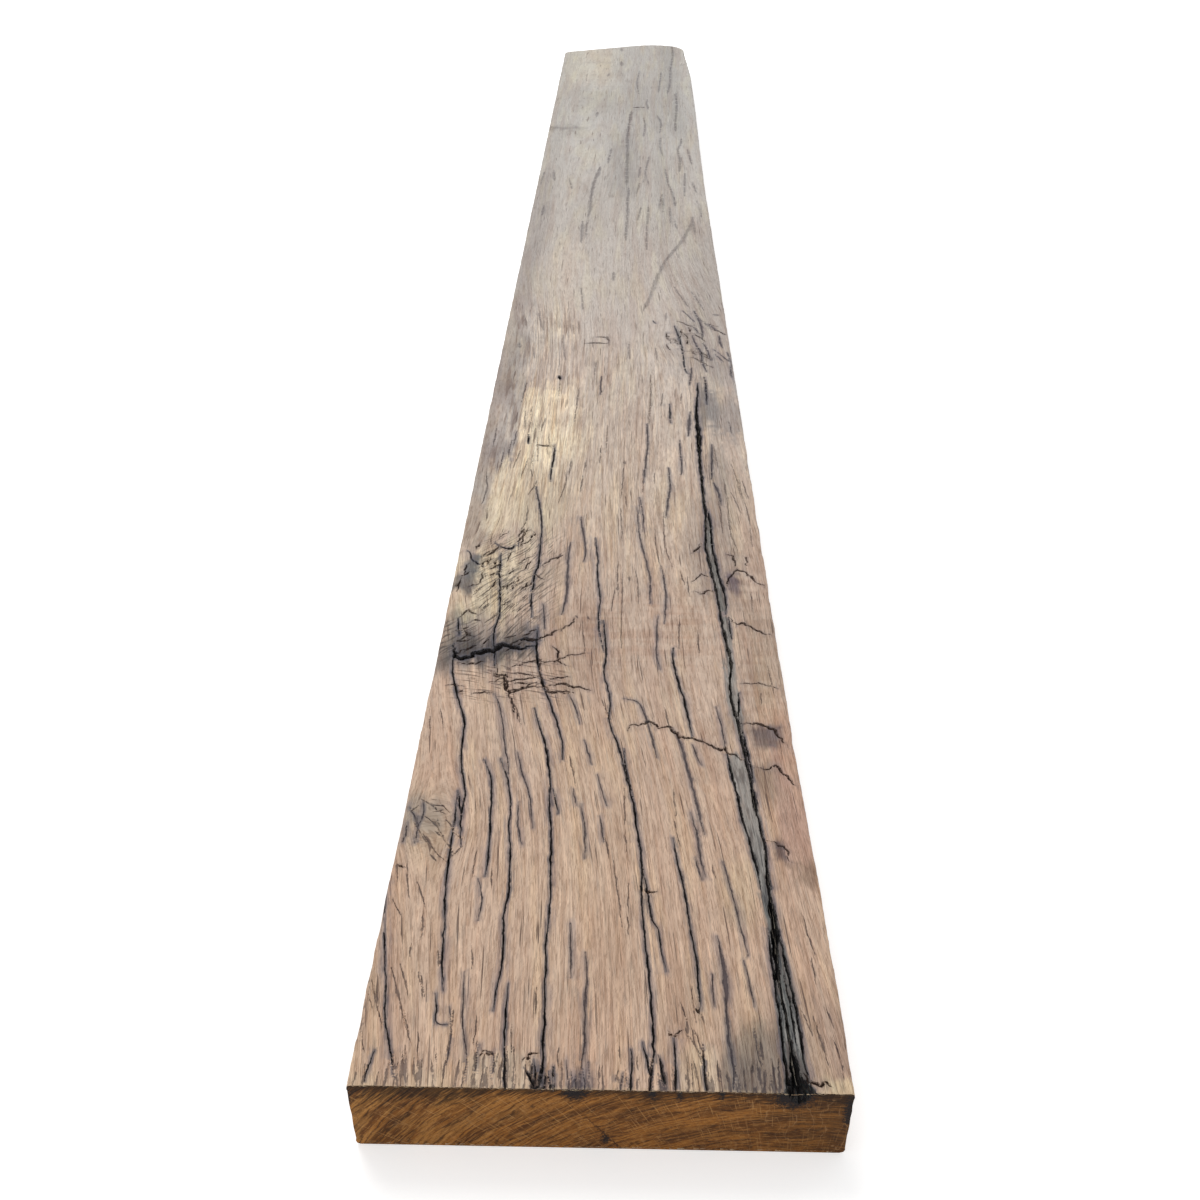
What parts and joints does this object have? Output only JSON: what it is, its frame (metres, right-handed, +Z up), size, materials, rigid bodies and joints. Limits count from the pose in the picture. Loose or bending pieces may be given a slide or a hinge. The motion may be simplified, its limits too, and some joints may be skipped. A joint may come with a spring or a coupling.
{
  "type": "reclaimed oak plank",
  "caption": "Thick weathered oak board with a long drying split, checks along the grain, one fresh-sawn end and one worn skewed end.",
  "frame": {"origin": "on the underside, below the middle of the board's box", "axes": "+Y along the board, from the fresh-sawn end to the old worn end; +X across it; +Z up out of the upper face"},
  "size_m": [0.2446, 2.4, 0.048],
  "materials": {
    "oak": "brushed and weathered, sawn bare at one end"
  },
  "bodies": {
    "root": {"plank": "oak"}
  },
  "joints": []
}
